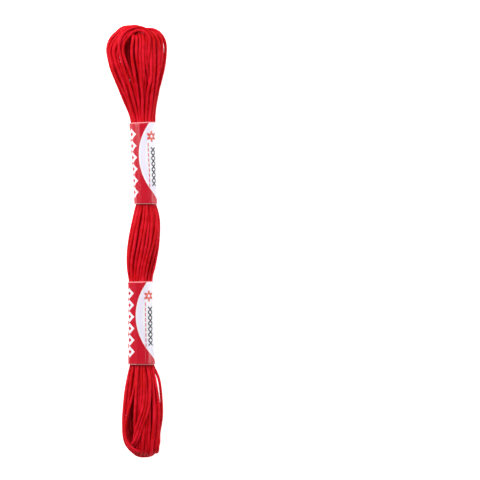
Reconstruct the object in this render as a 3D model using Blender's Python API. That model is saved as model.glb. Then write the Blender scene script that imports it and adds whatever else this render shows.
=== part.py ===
"""Skein of six-strand embroidery floss held by two paper bands, lying flat on its back.

+Y runs along the skein to its wider end, +X is to the right seen from above, and +Z is up.
The origin is at the middle of the underside's bounding box. Tables and sizes are in millimetres.
"""

import math
from collections import namedtuple

import bmesh
import bpy
from mathutils import Vector

MM = 0.001

# Overall sizes of the banded skein.
LENGTH = 170.0
TOP_Y = LENGTH / 2
BOTTOM_Y = -LENGTH / 2

# The wound thread: its side edges and height at stations down the skein.
# turn is how far the lay of the strands has turned round the skein, in degrees.
Station = namedtuple("Station", "y left right height turn")
SKEIN_STATIONS = (
    Station(y=85.0, left=-12.9, right=9.7, height=10.6, turn=0),
    Station(y=76.0, left=-12.15, right=11.9, height=11.4, turn=0),
    Station(y=71.0, left=-11.6, right=12.05, height=11.4, turn=0),
    Station(y=63.5, left=-9.3, right=10.9, height=10.4, turn=2),
    Station(y=56.0, left=-6.6, right=9.1, height=9.3, turn=4),
    Station(y=50.5, left=-4.2, right=7.6, height=8.3, turn=6),
    Station(y=47.8, left=-3.0, right=7.2, height=7.7, turn=8),
    Station(y=46.9, left=-2.4, right=6.6, height=7.1, turn=8),
    Station(y=30.0, left=-1.3, right=6.9, height=7.0, turn=11),
    Station(y=14.6, left=-0.4, right=7.1, height=7.0, turn=14),
    Station(y=13.7, left=-1.2, right=7.9, height=7.8, turn=14),
    Station(y=7.5, left=-2.5, right=9.2, height=8.8, turn=17),
    Station(y=0.0, left=-3.8, right=9.0, height=9.3, turn=21),
    Station(y=-8.0, left=-4.5, right=7.8, height=8.9, turn=25),
    Station(y=-14.8, left=-3.8, right=6.2, height=7.9, turn=27),
    Station(y=-15.7, left=-3.0, right=5.4, height=7.1, turn=27),
    Station(y=-32.0, left=-2.9, right=5.9, height=7.0, turn=27),
    Station(y=-48.4, left=-2.9, right=6.3, height=7.1, turn=27),
    Station(y=-49.3, left=-3.8, right=7.2, height=8.0, turn=27),
    Station(y=-54.0, left=-4.7, right=8.4, height=8.9, turn=27),
    Station(y=-60.0, left=-5.4, right=9.3, height=9.8, turn=25),
    Station(y=-70.0, left=-6.2, right=10.1, height=10.2, turn=22),
    Station(y=-76.0, left=-5.8, right=9.6, height=9.8, turn=20),
    Station(y=-85.0, left=-3.6, right=9.2, height=9.0, turn=20),
)
# Each end loop closes in a quarter ellipse past its shoulder.
TOP_SHOULDER_Y = 75.0
BOTTOM_SHOULDER_Y = -73.5

# Where rings of vertices lie: the spacing in open stretches, and in the bands' straight ones.
# The rings nearest a tip stop this share of a ring's turn short of it.
RING_STEP = 3.2
BANDED_RING_STEP = 6.5
END_RINGS = 7
TIP_SHARE = 0.6

STRAND_GROUPS = 14
POINTS_PER_GROUP = 4
GROOVE_DEPTH = 0.13
UNDERSIDE_SINK = 0.5

# What lies over or gapes between the strand groups on the upper face.
# rise is above the strands, and a negative rise is a gap that the turns leave.
Feature = namedtuple("Feature", "y_from x_from y_to x_to half_width rise")
UPPER_FEATURES = {
    "crossing_turns": Feature(y_from=-50, x_from=5.2, y_to=-80, x_to=-3.2, half_width=2.4, rise=1.0),
    "left_gap_below": Feature(y_from=-57, x_from=-0.6, y_to=-76, x_to=-3.6, half_width=1.6, rise=-2.2),
    "right_gap_below": Feature(y_from=-62, x_from=5.4, y_to=-79, x_to=2.6, half_width=1.4, rise=-1.6),
    "front_arch_left": Feature(y_from=82, x_from=-2.6, y_to=58, x_to=-3.4, half_width=1.7, rise=0.9),
    "loop_mouth": Feature(y_from=80, x_from=-3.4, y_to=64, x_to=-2.6, half_width=2.2, rise=-3.4),
    "front_arch_right": Feature(y_from=82, x_from=3.6, y_to=54, x_to=4.4, half_width=2.4, rise=0.9),
}
FEATURE_FADE = 4.0

# A band: a paper strip round the neck, with its two ends glued in a lap under the left side.
BandStation = namedtuple("BandStation", "y left right height")
UPPER_BAND = (
    BandStation(y=46.9, left=-3.2, right=7.4, height=8.7),
    BandStation(y=38.0, left=-2.6, right=7.5, height=8.5),
    BandStation(y=30.0, left=-2.1, right=7.7, height=8.4),
    BandStation(y=22.0, left=-1.6, right=7.8, height=8.4),
    BandStation(y=14.6, left=-1.2, right=7.9, height=8.4),
)
LOWER_BAND = (
    BandStation(y=-15.7, left=-3.8, right=6.2, height=8.6),
    BandStation(y=-24.0, left=-3.7, right=6.4, height=8.5),
    BandStation(y=-32.0, left=-3.7, right=6.7, height=8.5),
    BandStation(y=-40.0, left=-3.7, right=6.9, height=8.5),
    BandStation(y=-48.4, left=-3.7, right=7.1, height=8.6),
)
BAND_POINTS = 40
BAND_WALL = 0.4
LAP_STARTS_DEG = 200.0
LAP_ENDS_DEG = 245.0
LAP_RISE = 0.15
# Thread and paper stay this far apart, and the thread narrows over this length at a band's edge.
PAPER_CLEARANCE = 0.35
BAND_EDGE_REACH = 0.9

FLOSS_RED = (0.56, 0.004, 0.012, 1.0)
PRINT_RED = (0.60, 0.006, 0.028, 1.0)


def clear_scene():
    for thing in list(bpy.data.objects):
        bpy.data.objects.remove(thing)


def smooth_between(table, y, column):
    """The column's value at y: a cubic through the table's rows that doesn't overshoot them."""
    rows = sorted(table, key=lambda row: row.y)
    if y <= rows[0].y:
        return getattr(rows[0], column)
    if y >= rows[-1].y:
        return getattr(rows[-1], column)
    after = next(i for i, row in enumerate(rows) if row.y >= y)
    low, high = rows[after - 1], rows[after]

    def slope(i):
        """The harmonic mean of the slopes to either side, and none at a crest."""
        if i in (0, len(rows) - 1):
            return 0.0
        back, here, ahead = (getattr(rows[k], column) for k in (i - 1, i, i + 1))
        before = (here - back) / (rows[i].y - rows[i - 1].y)
        behind = (ahead - here) / (rows[i + 1].y - rows[i].y)
        return 0.0 if before * behind <= 0 else 2 * before * behind / (before + behind)

    span = high.y - low.y
    t = (y - low.y) / span
    start, end = getattr(low, column), getattr(high, column)
    return (
        (1 + 2 * t) * (1 - t) ** 2 * start
        + t * (1 - t) ** 2 * span * slope(after - 1)
        + t * t * (3 - 2 * t) * end
        + t * t * (t - 1) * span * slope(after)
    )


def end_rounding(y):
    """The share of its full section that the skein keeps at y: 1 between the shoulders, 0 at the tips."""
    if y > TOP_SHOULDER_Y:
        past = (y - TOP_SHOULDER_Y) / (TOP_Y - TOP_SHOULDER_Y)
    elif y < BOTTOM_SHOULDER_Y:
        past = (BOTTOM_SHOULDER_Y - y) / (BOTTOM_SHOULDER_Y - BOTTOM_Y)
    else:
        past = 0.0
    return math.sqrt(max(0.0, 1 - past * past))


def feature_height(x, y):
    """How far the upper face stands proud of the strands at (x, y)."""
    total = 0.0
    for feature in UPPER_FEATURES.values():
        along = (feature.y_from - y) / (feature.y_from - feature.y_to)
        middle = feature.x_from + along * (feature.x_to - feature.x_from)
        across = 1 - ((x - middle) / feature.half_width) ** 2
        inside = min(feature.y_from - y, y - feature.y_to) / FEATURE_FADE
        if across > 0 and inside > 0:
            total += feature.rise * across * min(1.0, inside)
    return total


def skein_point(y, degrees):
    """A point on the wound thread: a flattened round section, grooved between its strand groups.

    The grooves close underneath, where the skein's weight presses the groups together.
    """
    left, right, height, turn = (
        smooth_between(SKEIN_STATIONS, y, column) for column in ("left", "right", "height", "turn")
    )
    share = end_rounding(y)
    half_width = (right - left) / 2 * share
    half_height = height / 2 * share
    middle_x = (left + right) / 2
    middle_z = lifted(y) + height / 2 - UNDERSIDE_SINK
    lay = STRAND_GROUPS * math.radians(degrees - turn) / 2
    angle = math.radians(degrees)
    unpressed = min(1.0, 1.0 + math.sin(angle))
    groove = 1 - GROOVE_DEPTH * unpressed * (1 - abs(math.cos(lay)))
    x = middle_x + half_width * groove * math.cos(angle)
    z = middle_z + half_height * groove * math.sin(angle)
    if math.sin(angle) > 0:
        z += feature_height(x, y) * math.sin(angle) * share
    return Vector((x, y, max(z, lifted(y)))) * MM


def lifted(y):
    """How high the threads lie: on the paper inside a band, and on the surface elsewhere."""
    for band in (UPPER_BAND, LOWER_BAND):
        past = max(y - band[0].y, band[-1].y - y) / BAND_EDGE_REACH
        if past < 1:
            return (BAND_WALL + PAPER_CLEARANCE) * min(1.0, 1 - past)
    return 0.0


def spaced(high, low, step):
    """Evenly spaced places from high to low, both included, about a step apart."""
    count = max(1, round((high - low) / step))
    return {high + (low - high) * k / count for k in range(count + 1)}


def skein_ring_places():
    """Where the rings lie along Y: close in the end loops and at the bands' edges, wide inside the bands."""
    places = set()
    for i in range(1, END_RINGS + 1):
        round_share = math.sin(math.radians(90 * i / (END_RINGS + TIP_SHARE)))
        places.add(TOP_SHOULDER_Y + (TOP_Y - TOP_SHOULDER_Y) * round_share)
        places.add(BOTTOM_SHOULDER_Y + (BOTTOM_Y - BOTTOM_SHOULDER_Y) * round_share)
    highest = TOP_SHOULDER_Y
    for band in (UPPER_BAND, LOWER_BAND):
        places |= spaced(highest, band[0].y + BAND_EDGE_REACH, RING_STEP)
        places |= spaced(band[0].y, band[-1].y, BANDED_RING_STEP)
        highest = band[-1].y - BAND_EDGE_REACH
    places |= spaced(highest, BOTTOM_SHOULDER_Y, RING_STEP)
    return sorted(places)


def material(name, colour, roughness):
    made = bpy.data.materials.new(name)
    made.use_nodes = True
    shader = made.node_tree.nodes["Principled BSDF"]
    shader.inputs["Base Color"].default_value = colour
    shader.inputs["Roughness"].default_value = roughness
    shader.inputs["Metallic"].default_value = 0.0
    return made


def add_object(name, shape, finish):
    mesh = bpy.data.meshes.new(name)
    shape.to_mesh(mesh)
    shape.free()
    mesh.materials.append(finish)
    mesh.shade_smooth()
    made = bpy.data.objects.new(name, mesh)
    bpy.context.scene.collection.objects.link(made)
    return made


def build_skein():
    """One closed body: a globe whose circles of latitude become the rings down the skein.

    Its poles go to the tips, along Y. That swaps two axes, which turns the faces inwards.
    """
    places = skein_ring_places()
    around = STRAND_GROUPS * POINTS_PER_GROUP
    shape = bmesh.new()
    bmesh.ops.create_uvsphere(shape, u_segments=around, v_segments=len(places) + 1, radius=1.0)
    step = 180.0 / (len(places) + 1)
    for vertex in shape.verts:
        ring = round((90.0 + math.degrees(math.asin(max(-1.0, min(1.0, vertex.co.z))))) / step)
        if ring == 0 or ring == len(places) + 1:
            tip = BOTTOM_Y if ring == 0 else TOP_Y
            vertex.co = skein_point(tip, 90.0)
        else:
            vertex.co = skein_point(places[ring - 1], math.degrees(math.atan2(vertex.co.y, vertex.co.x)))
    bmesh.ops.reverse_faces(shape, faces=shape.faces)
    return add_object("skein", shape, material("mercerised_cotton_red", FLOSS_RED, 0.55))


def band_point(table, y, degrees, inset):
    """A point on a band's section: a flattened ring, thicker by the glued lap, flat where it rests."""
    left, right, height = (smooth_between(table, y, column) for column in ("left", "right", "height"))
    lap = LAP_RISE if inset == 0 and LAP_STARTS_DEG <= degrees % 360 <= LAP_ENDS_DEG else 0.0
    angle = math.radians(degrees)
    x = (left + right) / 2 + ((right - left) / 2 - inset + lap) * math.cos(angle)
    z = height / 2 - UNDERSIDE_SINK / 2 + (height / 2 - inset + lap) * math.sin(angle)
    return Vector((x, y, max(z, inset))) * MM


def build_band(name, table):
    """A paper sleeve: one ring drawn down the outer wall, back up the inner one, and joined to itself."""
    walls = [(row.y, 0.0) for row in table] + [(row.y, BAND_WALL) for row in reversed(table)]
    shape = bmesh.new()
    around = shape.verts.layers.float.new("degrees")
    ring = bmesh.ops.create_circle(shape, segments=BAND_POINTS, radius=1.0)["verts"]
    for vertex in ring:
        vertex[around] = math.degrees(math.atan2(vertex.co.y, vertex.co.x))
        vertex.co = band_point(table, table[0].y, vertex[around], 0.0)
    first = edges = list(shape.edges)
    for y, inset in walls[1:]:
        drawn = bmesh.ops.extrude_edge_only(shape, edges=edges)["geom"]
        edges = [part for part in drawn if isinstance(part, bmesh.types.BMEdge)]
        for vertex in (part for part in drawn if isinstance(part, bmesh.types.BMVert)):
            vertex.co = band_point(table, y, vertex[around], inset)
    bmesh.ops.bridge_loops(shape, edges=edges + first)
    bmesh.ops.recalc_face_normals(shape, faces=shape.faces)
    made = add_object(name, shape, material(name + "_coated_paper", PRINT_RED, 0.3))
    made.data.set_sharp_from_angle(angle=math.radians(40))
    return made


def main():
    clear_scene()
    build_skein()
    build_band("band_upper", UPPER_BAND)
    build_band("band_lower", LOWER_BAND)


main()
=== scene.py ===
"""Looks for a banded skein of six-strand embroidery floss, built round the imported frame.

One thread of eight metres is wound through both end loops and both necks, and settles against itself.
Two coated paper strips are wrapped round the necks and glued in a lap underneath.
Lengths in properties are in metres. The route and the paper are worked out in millimetres.
"""

import math
from collections import namedtuple

import bmesh
import bpy
import numpy as np
from bpy.props import FloatProperty, FloatVectorProperty, IntProperty, PointerProperty
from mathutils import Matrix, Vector
from mathutils.kdtree import KDTree


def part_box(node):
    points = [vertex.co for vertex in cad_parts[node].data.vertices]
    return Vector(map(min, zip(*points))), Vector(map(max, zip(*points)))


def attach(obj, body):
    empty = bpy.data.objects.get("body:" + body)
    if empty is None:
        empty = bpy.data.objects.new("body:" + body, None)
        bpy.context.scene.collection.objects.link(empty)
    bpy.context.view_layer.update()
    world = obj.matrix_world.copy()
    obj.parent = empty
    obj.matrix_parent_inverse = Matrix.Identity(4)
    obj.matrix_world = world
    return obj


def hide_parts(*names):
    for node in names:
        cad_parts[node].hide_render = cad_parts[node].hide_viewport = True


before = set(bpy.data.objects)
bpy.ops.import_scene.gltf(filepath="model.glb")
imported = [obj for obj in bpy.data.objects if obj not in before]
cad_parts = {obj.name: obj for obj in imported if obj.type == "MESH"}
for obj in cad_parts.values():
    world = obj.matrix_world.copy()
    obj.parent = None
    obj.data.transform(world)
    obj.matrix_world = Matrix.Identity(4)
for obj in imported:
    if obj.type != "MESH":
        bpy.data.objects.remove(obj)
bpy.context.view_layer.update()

bl_info = {
    "name": "Embroidery floss skein",
    "version": (1, 0, 0),
    "blender": (4, 5, 0),
    "location": "View3D > Sidebar > Floss",
    "description": "Winds a skein of embroidery floss, wraps its paper bands and lights it",
    "category": "Object",
}

MM = 0.001
BODY = "root"
BAND_NODES = ("band_upper", "band_lower")

# ---------------------------------------------------------------------------------------------
# The wound thread
# ---------------------------------------------------------------------------------------------

# A group of turns round an end loop. Each turn has a near leg, a crown at the tip and a far leg. Values
# that come in pairs are the first and the last turn's, and the turns between them are spread evenly.
# near and far place the legs on the loop's section where the crown starts, and near_neck and far_neck
# say where they would like to enter the neck: a pair of degrees (0 right, 90 on top, 180 left, 270
# underneath), then a pair of shares of the way from the middle to the surface.
# crown_x, drop and shoulder are in mm: the crown's place across, how far it stays short of the tip,
# and how far from the tip it starts. rise is its height as a share of the section's, and lift is how
# far in mm the near leg is raised half way along. slew is how late the legs cross over from their place
# in the neck to their place on the loop: 1 is evenly on the way, 3 mostly at the loop's end. stray is
# how far, as a share, the near leg bows out of the bundle.
Turns = namedtuple(
    "Turns",
    "count near near_neck far far_neck crown_x drop rise shoulder lift slew stray",
    defaults=(0.0, 1, 0.0),
)

TOP_TURNS = {
    "left_crown": Turns(
        count=7, crown_x=(-2.2, -0.6), drop=(0.0, 1.6), rise=(-0.1, 0.45), shoulder=(9.5, 10.5),
        near=(184, 134, 1.0, 0.98), near_neck=(186, 132, 1.0, 0.95),
        far=(306, 266, 0.75, 0.95), far_neck=(308, 268, 0.7, 0.9),
    ),
    "front_crown": Turns(
        count=2, crown_x=(0.4, 0.8), drop=(0.8, 1.8), rise=(0.95, 0.85), shoulder=(8.5, 8.5),
        near=(124, 120, 1.0, 0.97), near_neck=(130, 124, 1.0, 0.95),
        far=(61, 66, 1.0, 0.97), far_neck=(76, 80, 1.0, 0.9),
        lift=0.3,
    ),
    "inner_left": Turns(
        count=2, crown_x=(-0.8, 0.0), drop=(2.2, 2.4), rise=(0.3, 0.3), shoulder=(10.5, 10.5),
        near=(99, 93, 1.0, 0.97), near_neck=(101, 96, 0.95, 0.9),
        far=(246, 256, 0.8, 0.8), far_neck=(250, 258, 0.8, 0.8),
    ),
    "fan": Turns(
        count=4, crown_x=(0.2, 2.8), drop=(2.2, 2.4), rise=(0.35, 0.35), shoulder=(10.5, 10.5),
        near=(226, 258, 0.6, 0.72), near_neck=(228, 258, 0.8, 0.8),
        far=(86, 69, 1.0, 0.95), far_neck=(92, 72, 0.95, 0.9),
    ),
    "right_crown": Turns(
        count=3, crown_x=(4.9, 4.2), drop=(2.0, 3.0), rise=(0.15, 0.5), shoulder=(9.5, 10.5),
        near=(250, 282, 0.7, 0.66), near_neck=(252, 284, 0.6, 0.6),
        far=(28.5, 53, 1.0, 1.0), far_neck=(26, 50, 1.0, 1.0),
    ),
    "right_rim": Turns(
        count=2, crown_x=(3.8, 3.0), drop=(1.3, 1.9), rise=(0.15, -0.25), shoulder=(9.5, 9.5),
        near=(222, 238, 0.72, 0.66), near_neck=(224, 240, 0.7, 0.7),
        far=(2, -30, 1.0, 1.0), far_neck=(6, -20, 1.0, 1.0),
    ),
    "back_crown": Turns(
        count=4, crown_x=(0.6, 0.0), drop=(1.4, 3.0), rise=(-0.4, -0.6), shoulder=(8.5, 7.5),
        near=(211, 240, 0.95, 0.95), near_neck=(210, 240, 0.9, 0.95),
        far=(311, 290, 0.95, 0.95), far_neck=(316, 294, 0.95, 0.95),
    ),
}
BOTTOM_TURNS = {
    "left_rim": Turns(
        count=5, crown_x=(2.8, 1.4), drop=(0.0, 1.6), rise=(-0.1, 0.3), shoulder=(9.5, 8.5),
        near=(184, 148, 1.0, 0.98), near_neck=(186, 132, 1.0, 0.95),
        far=(330, 296, 0.8, 0.9), far_neck=(330, 290, 0.8, 0.9),
    ),
    "crossing": Turns(
        count=3, crown_x=(-1.8, -2.4), drop=(4.3, 4.3), rise=(0.25, 0.2), shoulder=(8.5, 8.5),
        near=(98, 114, 1.0, 0.97), near_neck=(48, 74, 1.0, 0.97),
        far=(236, 216, 0.85, 0.85), far_neck=(246, 218, 0.9, 0.9),
        lift=0.9, slew=3,
    ),
    "kept_left": Turns(
        count=3, crown_x=(0.4, 1.8), drop=(1.8, 1.4), rise=(-0.1, 0.0), shoulder=(8.5, 7.5),
        near=(116, 92, 0.84, 0.7), near_neck=(108, 90, 1.0, 0.97),
        far=(240, 266, 0.8, 0.8), far_neck=(240, 266, 0.8, 0.8),
    ),
    "right_front": Turns(
        count=4, crown_x=(4.0, 5.8), drop=(0.4, 1.0), rise=(0.1, 0.0), shoulder=(6.0, 7.0),
        near=(70, 33, 0.98, 1.0), near_neck=(44, 32, 0.9, 1.0),
        far=(270, 294, 0.95, 0.95), far_neck=(272, 300, 0.9, 0.9),
        slew=2,
    ),
    "right_side": Turns(
        count=1, crown_x=(6.2, 6.2), drop=(1.2, 1.2), rise=(0.0, 0.0), shoulder=(7.0, 7.0),
        near=(14, 14, 1.0, 1.0), near_neck=(20, 20, 0.7, 0.7),
        far=(303, 303, 0.95, 0.95), far_neck=(310, 310, 0.9, 0.9),
    ),
    "emerging": Turns(
        count=2, crown_x=(1.0, 2.6), drop=(0.8, 0.4), rise=(0.1, 0.1), shoulder=(6.0, 6.0),
        near=(88, 80, 0.9, 0.92), near_neck=(80, 66, 0.6, 0.7),
        far=(262, 270, 0.9, 0.9), far_neck=(262, 270, 0.9, 0.9),
    ),
    "outer_right": Turns(
        count=1, crown_x=(6.4, 6.4), drop=(1.6, 1.6), rise=(0.0, 0.0), shoulder=(8.0, 8.0),
        near=(-2, -2, 0.98, 0.98), near_neck=(4, 4, 1.1, 1.1),
        far=(284, 284, 0.9, 0.9), far_neck=(290, 290, 0.9, 0.9),
        stray=0.19,
    ),
    "middle": Turns(
        count=4, crown_x=(-0.9, 4.6), drop=(3.0, 1.6), rise=(-0.2, -0.2), shoulder=(6.0, 6.0),
        near=(118, 56, 0.6, 0.6), near_neck=(130, 80, 0.6, 0.6),
        far=(222, 290, 0.95, 0.95), far_neck=(226, 296, 0.8, 0.8),
    ),
}

GOLDEN_ANGLE = math.radians(137.508)
# Seeds for how the turns are laid, and for how the thread is stirred before it settles.
PLACE_SEED, STIR_SEED = 10, 2
# How unevenly hands lay the turns: degrees round the section, and share of the way to the surface.
DEGREES_JITTER, SHARE_JITTER = 1.2, 0.015
# How much it counts that two turns' near legs lie close, against their far legs, when they trade.
NEAR_LEG_WEIGHT = 0.3
# Distance in mm between the route's points.
SAMPLE = 1.1
# How far the bundle swells half way between the bands, as a share.
LOOSENESS = 0.08
# Half an ellipse is about this many times as long as its two half axes together.
HALF_ELLIPSE = 1.6


def evenly(pair, i, count):
    """The i-th of count values spread from the first of a pair to the second."""
    return pair[0] + (pair[1] - pair[0]) * (i / (count - 1) if count > 1 else 0.0)


def node_rings(node, inset=0.0):
    """A CAD node's rings down the skein, as rows of y, left, right, low and high in mm."""
    corners = np.array([v.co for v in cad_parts[node].data.vertices]) / MM
    rows = {}
    for x, y, z in corners:
        rows.setdefault(round(float(y), 1), []).append((x, z))
    out = []
    for y, places in sorted(rows.items()):
        xs, zs = np.array(places).T
        out.append((y, xs.min() + inset, xs.max() - inset, zs.min() + inset, zs.max() - inset))
    return out


class Envelope:
    """The room the thread lies in: the CAD skein in the open, and the paper's inside in the necks."""

    def __init__(self, paper):
        self.bands = [(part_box(n)[0].y / MM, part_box(n)[1].y / MM) for n in BAND_NODES]
        rows = [row for row in node_rings("skein") if not any(a <= row[0] <= b for a, b in self.bands)]
        for node in BAND_NODES:
            rows += node_rings(node, paper)
        rows.sort()
        table = np.array(rows)
        self.y = table[:, 0]
        self.middle_x = (table[:, 1] + table[:, 2]) / 2
        self.middle_z = (table[:, 3] + table[:, 4]) / 2
        self.half_x = (table[:, 2] - table[:, 1]) / 2
        self.half_z = (table[:, 4] - table[:, 3]) / 2
        self.top, self.bottom = float(self.y[-1]), float(self.y[0])

    def at(self, y):
        """The section at y: its middle across and up, then its half width and half height."""
        tables = (self.middle_x, self.middle_z, self.half_x, self.half_z)
        return tuple(np.interp(y, self.y, table) for table in tables)


def on_section(degrees, share):
    """A place on a section, as shares of its half width and half height."""
    return np.array([math.cos(math.radians(degrees)), math.sin(math.radians(degrees))]) * share


def turned(uv, degrees):
    """A place on a section, turned about its middle."""
    c, s = math.cos(math.radians(degrees)), math.sin(math.radians(degrees))
    return np.array([uv[0] * c - uv[1] * s, uv[0] * s + uv[1] * c])


class Leg:
    """One side of a turn: its place on the loop's section, and where it would like to enter the neck."""

    def __init__(self, spread, neck, i, count, lift, stray, rng):
        degrees = evenly(spread[:2], i, count) + rng.normal(0, DEGREES_JITTER)
        share = evenly(spread[2:], i, count) + rng.normal(0, SHARE_JITTER)
        self.uv = on_section(degrees, share)
        self.wish = on_section(evenly(neck[:2], i, count), evenly(neck[2:], i, count))
        self.lift, self.stray = lift, stray
        self.slot = None


class Arch:
    """One turn round an end loop: two legs and the crown between them."""

    def __init__(self, near, far, crown_x, drop, rise, shoulder, slew):
        self.near, self.far = near, far
        self.crown_x, self.drop, self.rise, self.shoulder = crown_x, drop, rise, shoulder
        self.slew = slew

    def other(self, leg):
        return self.far if leg is self.near else self.near


def arches(groups, rng):
    """Every turn of the groups round one end loop."""
    made = []
    for g in groups.values():
        for i in range(g.count):
            near = Leg(g.near, g.near_neck, i, g.count, g.lift, g.stray, rng)
            far = Leg(g.far, g.far_neck, i, g.count, 0.0, 0.0, rng)
            crown = [evenly(pair, i, g.count) for pair in (g.crown_x, g.drop, g.rise, g.shoulder)]
            made.append(Arch(near, far, *crown, g.slew))
    return made


def both_legs(loop):
    return [leg for arch in loop for leg in (arch.near, arch.far)]


def give_slots(legs, slots):
    """Gives each leg the neck place that suits it, and returns the places left free.

    The outermost legs choose first. Then legs swap places, or take a free one, while that brings them
    nearer to where they would like to be.
    """
    wishes = np.array([leg.wish for leg in legs])
    cost = np.sum((wishes[:, None] - slots[None]) ** 2, axis=2)
    free = list(range(len(slots)))
    held = {}
    for k in sorted(range(len(legs)), key=lambda k: -np.hypot(*wishes[k])):
        held[k] = min(free, key=lambda s: float(cost[k, s]))
        free.remove(held[k])
    moved = True
    while moved:
        moved = False
        for a in range(len(legs)):
            for b in range(a):
                now = cost[a, held[a]] + cost[b, held[b]]
                if cost[a, held[b]] + cost[b, held[a]] < now - 1e-9:
                    held[a], held[b] = held[b], held[a]
                    moved = True
            for spare in list(free):
                if cost[a, spare] < cost[a, held[a]] - 1e-9:
                    free.remove(spare)
                    free.append(held[a])
                    held[a] = spare
                    moved = True
    for k, leg in enumerate(legs):
        leg.slot = held[k]
    return free


def runs(top, bottom, ends):
    """The thread's order, from each loose end and round each closed ring.

    A run is a list of arches, each with the leg that enters it and the leg that leaves it.
    """
    at_top = {leg.slot: (arch, leg) for arch in top for leg in (arch.near, arch.far)}
    at_bottom = {leg.slot: (arch, leg) for arch in bottom for leg in (arch.near, arch.far)}
    unused = set(at_top)
    found = []
    for start in list(ends) + sorted(unused):
        if start not in unused:
            continue
        run, slot = [], start
        while slot in unused:
            arch, leg = at_top[slot]
            out = arch.other(leg)
            run.append((arch, leg, out))
            unused -= {leg.slot, out.slot}
            if out.slot not in at_bottom:
                break
            low, low_leg = at_bottom[out.slot]
            low_out = low.other(low_leg)
            run.append((low, low_leg, low_out))
            slot = low_out.slot
        found.append(run)
    return found


def one_thread(top, bottom, ends):
    """Turns trade far legs until every pass belongs to one thread."""
    while True:
        found = runs(top, bottom, ends)
        if len(found) == 1:
            return found[0]
        member = {id(step[0]): n for n, run in enumerate(found) for step in run}
        trades = []
        for loop in (top, bottom):
            for a in loop:
                for b in loop:
                    if member[id(a)] < member[id(b)]:
                        apart = np.sum((a.far.uv - b.far.uv) ** 2)
                        near_apart = np.sum((a.near.uv - b.near.uv) ** 2)
                        trades.append((apart + NEAR_LEG_WEIGHT * near_apart, a, b))
        _, a, b = min(trades, key=lambda trade: trade[0])
        a.far, b.far = b.far, a.far


class Winding:
    """The thread as hands first lay it, in mm: down every pass of the necks and round every arch."""

    def __init__(self, thread_radius, paper, lay_turn):
        self.room = Envelope(paper)
        self.thread_radius, self.lay_turn = thread_radius, lay_turn
        rng = np.random.default_rng(PLACE_SEED)
        top, bottom = arches(TOP_TURNS, rng), arches(BOTTOM_TURNS, rng)
        # The places in a neck are packed evenly, in the order of a sunflower's seeds.
        passes = 2 * len(top)
        k = np.arange(passes) + 0.5
        radii = np.sqrt(k / passes)
        self.slots = np.stack([radii * np.cos(k * GOLDEN_ANGLE), radii * np.sin(k * GOLDEN_ANGLE)], axis=1)
        self.low_slots = np.array([turned(slot, lay_turn) for slot in self.slots])
        give_slots(both_legs(top), self.slots)
        ends = give_slots(both_legs(bottom), self.low_slots)
        self.order = one_thread(top, bottom, ends[:1])

    def place(self, uv, y, stray=0.0):
        """A point in the room and, as its fourth value, how far it may stray from the bundle."""
        mx, mz, hx, hz = self.room.at(y)
        hx, hz = hx - self.thread_radius, hz - self.thread_radius
        return np.array([mx + uv[0] * hx, y, mz + uv[1] * hz, stray])

    def leg_points(self, arch, leg, is_top):
        """From the neck's edge out to the shoulder, and the shoulder's own point."""
        room = self.room
        tip, edge = (room.top, room.bands[0][1]) if is_top else (room.bottom, room.bands[1][0])
        slot_uv = self.slots[leg.slot] if is_top else self.low_slots[leg.slot]
        sign = 1 if is_top else -1
        shoulder_y = tip - sign * arch.shoulder
        count = max(2, int(abs(shoulder_y - edge) / SAMPLE))
        pts = []
        for n in range(count):
            t = n / count
            eased = t * t * (3 - 2 * t) if arch.slew == 1 else t ** arch.slew
            uv = slot_uv + (leg.uv - slot_uv) * eased
            bow = leg.stray * math.sin(math.pi * math.sqrt(t))
            at = self.place(uv * (1 + bow), edge + (shoulder_y - edge) * t, bow)
            at[2] += leg.lift * math.sin(math.pi * t)
            pts.append(at)
        return pts, self.place(leg.uv, shoulder_y)

    def crown_points(self, arch, start, end, is_top):
        """Half an ellipse from one shoulder over the crown to the other."""
        tip = self.room.top if is_top else self.room.bottom
        sign = 1 if is_top else -1
        _, mz, _, hz = self.room.at(tip - sign * arch.shoulder)
        crown_y = tip - sign * (arch.drop + self.thread_radius)
        crown = np.array([arch.crown_x, crown_y, mz + arch.rise * hz, 0.0])
        middle = (start + end) / 2
        reach = np.linalg.norm(crown - middle) + np.linalg.norm(start - middle)
        count = max(8, int(reach * HALF_ELLIPSE / SAMPLE))
        angles = np.linspace(0, math.pi, count, endpoint=False)
        return [middle + (start - middle) * math.cos(a) + (crown - middle) * math.sin(a) for a in angles]

    def pass_points(self, slot, downwards):
        """Through both necks, between their outer edges."""
        (upper_low, upper_high), (lower_low, lower_high) = self.room.bands
        pts = []
        for y in np.arange(upper_high, lower_low, -SAMPLE):
            share = np.clip((upper_low - y) / (upper_low - lower_high), 0, 1)
            loose = 1 + LOOSENESS * math.sin(math.pi * share)
            pts.append(self.place(turned(self.slots[slot], self.lay_turn * share) * loose, y))
        return pts if downwards else pts[::-1]

    def route(self):
        """The whole thread. Both its ends lie inside the lower band, half way down."""
        lower_low, lower_high = self.room.bands[1]
        end_y = (lower_low + lower_high) / 2
        first, last = self.order[0][1].slot, self.order[-1][2].slot
        points = [p for p in self.pass_points(first, False) if p[1] > end_y]
        is_top = True
        for arch, enter, leave in self.order:
            out, start = self.leg_points(arch, enter, is_top)
            back, end = self.leg_points(arch, leave, is_top)
            points += out + self.crown_points(arch, start, end, is_top) + [end] + back[::-1]
            if leave.slot != last:
                points += self.pass_points(leave.slot, is_top)
            is_top = not is_top
        points += [p for p in self.pass_points(last, True) if p[1] > end_y]
        return np.array(points)


# Each round of smoothing shrinks a kink by the first share and swells it by the second.
SHRINK, SWELL = 0.6, -0.63
# Rounds of smoothing: before the thread settles, in each round of settling, and once it lies still.
FIRST_SMOOTHING, SMOOTHING, LAST_SMOOTHING = 20, 2, 4
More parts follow.
